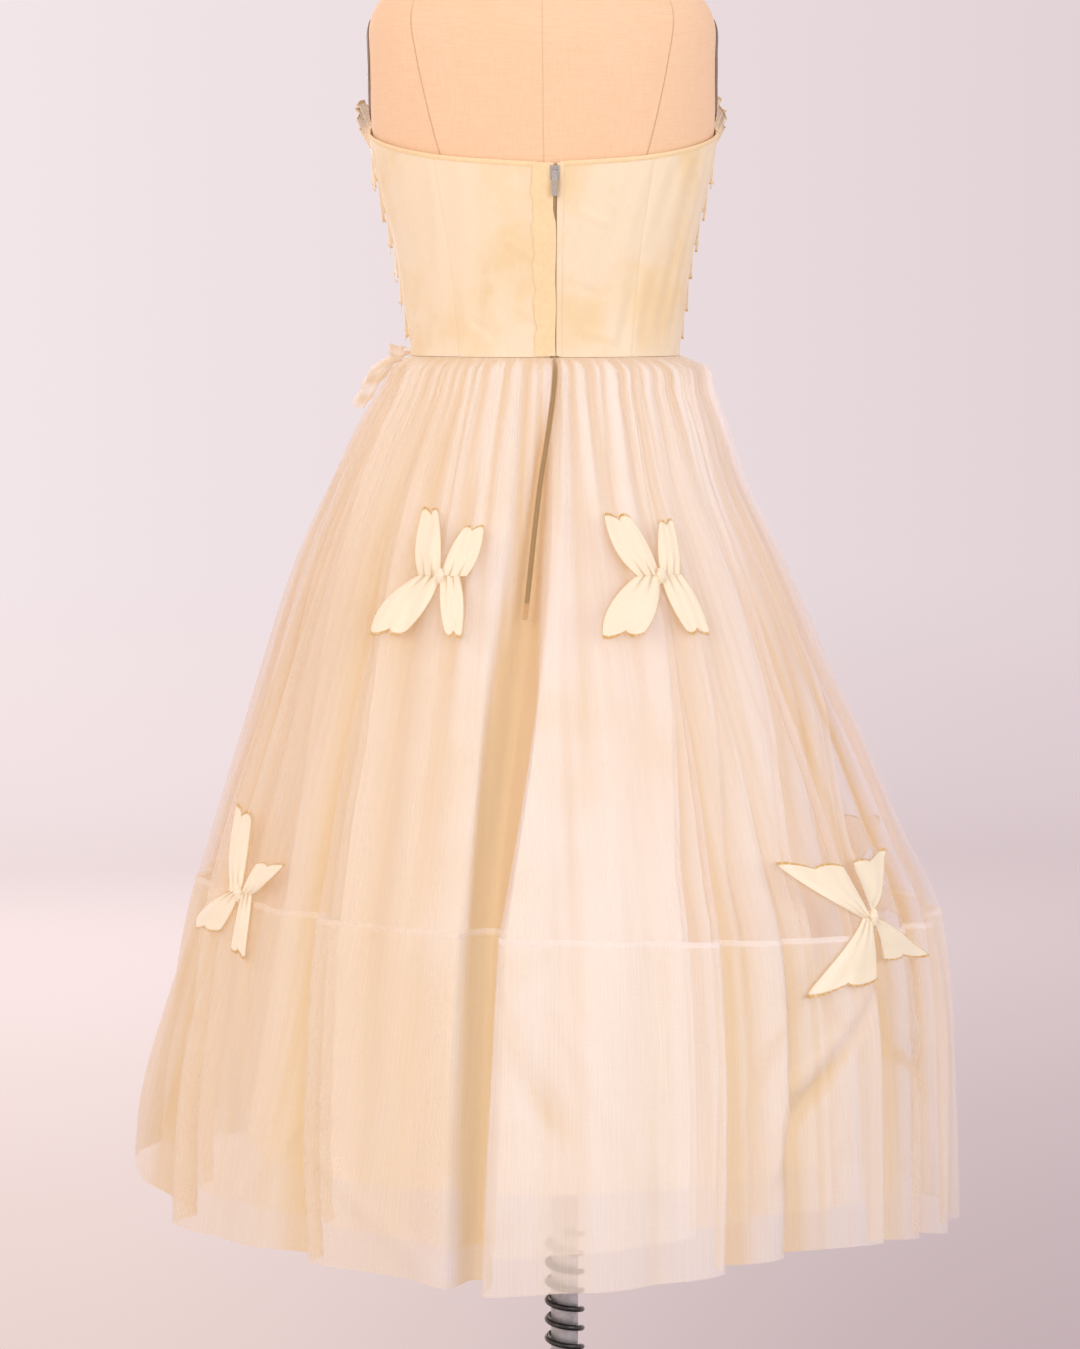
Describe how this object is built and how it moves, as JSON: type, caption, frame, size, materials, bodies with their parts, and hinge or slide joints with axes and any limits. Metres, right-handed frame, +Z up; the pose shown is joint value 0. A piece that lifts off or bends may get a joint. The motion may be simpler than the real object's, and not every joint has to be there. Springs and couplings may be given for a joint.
{
  "type": "strapless gathered cocktail dress on a limbless dress form with its stand",
  "caption": "Strapless organza dress with a gathered skirt, deep hem band, lining, frills, bows and back zip, worn by a limbless dress form on a pole stand.",
  "frame": {"origin": "on the floor, on the axis of the stand's pole, at the middle of the base's flat underside", "axes": "+Z up along the pole, the wearer's front faces -Y, the back with the zip faces +Y and the wearer's left is +X"},
  "size_m": [0.7494, 0.7337, 1.516],
  "materials": {
    "form_linen": "plain woven linen stretched over a padded form, matt",
    "form_cap": "linen-covered wooden cap",
    "form_plate": "thin brown lacquered arm plate",
    "form_board": "plain sealed board",
    "stand_pole": "dull grey tube, lightly worn",
    "stand_black": "black enamel",
    "bodice_satin": "ivory organza over satin, soft sheen",
    "frill_organza": "crisp sheer organza",
    "skirt_organza": "crisp sheer organza over taffeta",
    "band_organza": "doubled sheer organza",
    "lining_taffeta": "opaque taffeta, soft sheen",
    "bow_satin": "cream satin with a stitched edge",
    "waist_bow_organza": "crisp sheer organza",
    "zip_tape": "yellowed cotton tape",
    "zip_metal": "silver metal, lightly tarnished"
  },
  "bodies": {
    "dress_on_form": {"form_torso": "form_linen", "form_neck_cap": "form_cap", "form_arm_plate_left": "form_plate", "form_arm_plate_right": "form_plate", "form_bottom_board": "form_board", "stand_pole": "stand_pole", "stand_spring": "stand_black", "stand_collar": "stand_black", "stand_base": "stand_black", "bodice_front": "bodice_satin", "bodice_side_left": "bodice_satin", "bodice_side_right": "bodice_satin", "bodice_back_left": "bodice_satin", "bodice_back_right": "bodice_satin", "frill_0": "frill_organza", "frill_1": "frill_organza", "frill_2": "frill_organza", "frill_3": "frill_organza", "frill_4": "frill_organza", "frill_5": "frill_organza", "frill_6": "frill_organza", "skirt_front": "skirt_organza", "skirt_back_left": "skirt_organza", "skirt_back_right": "skirt_organza", "band_front": "band_organza", "band_back_left": "band_organza", "band_back_right": "band_organza", "lining_front": "lining_taffeta", "lining_back_left": "lining_taffeta", "lining_back_right": "lining_taffeta", "bow_hip_back_left": "bow_satin", "bow_hip_back_right": "bow_satin", "bow_low_back_left": "bow_satin", "bow_low_back_right": "bow_satin", "bow_hip_front_left": "bow_satin", "bow_hip_front_right": "bow_satin", "bow_low_front_left": "bow_satin", "bow_low_front_right": "bow_satin", "knot_hip_back_left": "bow_satin", "knot_hip_back_right": "bow_satin", "knot_low_back_left": "bow_satin", "knot_low_back_right": "bow_satin", "knot_hip_front_left": "bow_satin", "knot_hip_front_right": "bow_satin", "knot_low_front_left": "bow_satin", "knot_low_front_right": "bow_satin", "waist_loop_back": "waist_bow_organza", "waist_loop_front": "waist_bow_organza", "zip_tape": "zip_tape", "zip_slider": "zip_metal"},
    "zip_pull": {"zip_pull": "zip_metal"}
  },
  "joints": [
    {"name": "zip_pull_swing", "type": "hinge", "parent": "dress_on_form", "child": "zip_pull", "pos_m": [0.00975, 0.10323, 1.2305], "axis": [1, 0, 0], "range_deg": [0, 150]}
  ]
}
